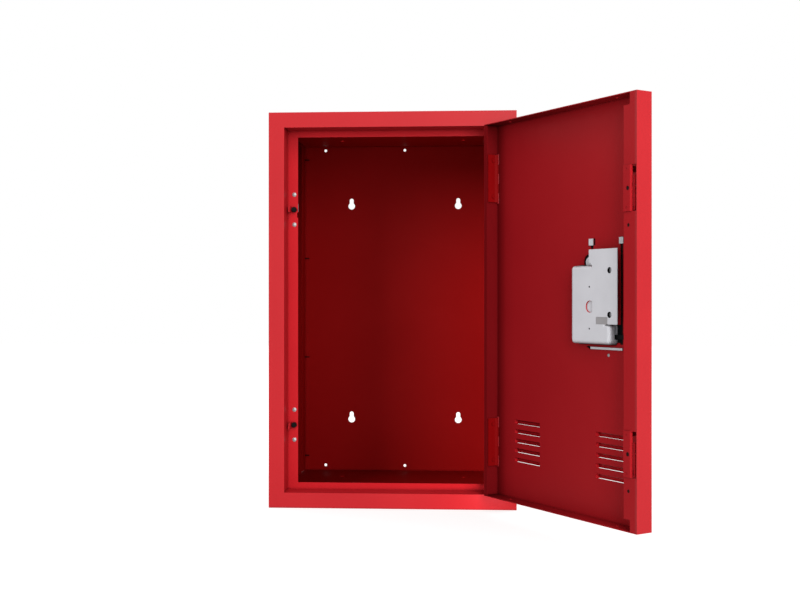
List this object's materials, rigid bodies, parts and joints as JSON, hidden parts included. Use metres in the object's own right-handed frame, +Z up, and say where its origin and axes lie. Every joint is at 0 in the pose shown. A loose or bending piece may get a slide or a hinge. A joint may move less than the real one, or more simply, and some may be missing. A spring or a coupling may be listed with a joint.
{
  "type": "school locker",
  "caption": "Steel box locker with an open recessed door on knuckle hinges, louvred vents, a drawn handle cup, a lift-up latch bar, strike hooks on the frame and keyholes in the back.",
  "frame": {"origin": "centre of the cabinet's base", "axes": "+X to the right as seen from the front, +Y to the wall behind, +Z up"},
  "size_m": [0.539, 0.6665, 0.6096],
  "materials": {
    "cabinet_paint": "red powder coat, semi-gloss",
    "door_paint": "red powder coat, semi-gloss",
    "lock_enamel": "satin grey",
    "bright_steel": "zinc plated",
    "black_rubber": "matt",
    "black_plastic": "matt"
  },
  "bodies": {
    "cabinet": {"top_panel": "cabinet_paint", "bottom_panel": "cabinet_paint", "side_panel_left": "cabinet_paint", "side_panel_right": "cabinet_paint", "back_panel": "cabinet_paint", "frame_rail_top": "cabinet_paint", "frame_rail_bottom": "cabinet_paint", "frame_stile_left": "cabinet_paint", "frame_stile_right": "cabinet_paint", "strike_hook_lower": "cabinet_paint", "strike_hook_upper": "cabinet_paint", "frame_hinge_leaf_lower": "cabinet_paint", "frame_hinge_leaf_upper": "cabinet_paint", "hinge_pin_lower": "cabinet_paint", "hinge_pin_upper": "cabinet_paint", "strike_plate_lower": "bright_steel", "strike_plate_upper": "bright_steel", "strike_rivets": "bright_steel", "silencer_lower": "black_rubber", "silencer_upper": "black_rubber"},
    "door": {"door_panel": "door_paint", "door_hinge_leaf_lower": "door_paint", "door_hinge_leaf_upper": "door_paint", "hinge_rivets": "door_paint", "handle_cup": "lock_enamel", "cup_gasket": "black_rubber", "lock_sleeves": "black_plastic", "lock_nuts": "lock_enamel", "cup_plugs": "black_plastic", "bolt_keeper": "bright_steel", "flange_rivet": "bright_steel", "padlock_staple": "lock_enamel", "bar_guide_lower": "door_paint", "bar_guide_upper": "door_paint", "lip_plate_lower": "door_paint", "lip_plate_upper": "door_paint", "guide_rivets": "door_paint", "lip_plugs": "black_plastic"},
    "latch": {"latch_bar": "door_paint", "catch_pins": "door_paint", "pull_arm": "black_plastic", "finger_pull": "lock_enamel", "pull_rivets": "bright_steel"}
  },
  "joints": [
    {"name": "door_hinge", "type": "hinge", "parent": "cabinet", "child": "door", "pos_m": [0.16317, -0.1912, 0.3048], "axis": [0, 0, 1], "range_deg": [-124.57, 50.4]},
    {"name": "latch_lift", "type": "slide", "parent": "door", "child": "latch", "axis": [0, 0, 1], "range_m": [0, 0.012]}
  ]
}
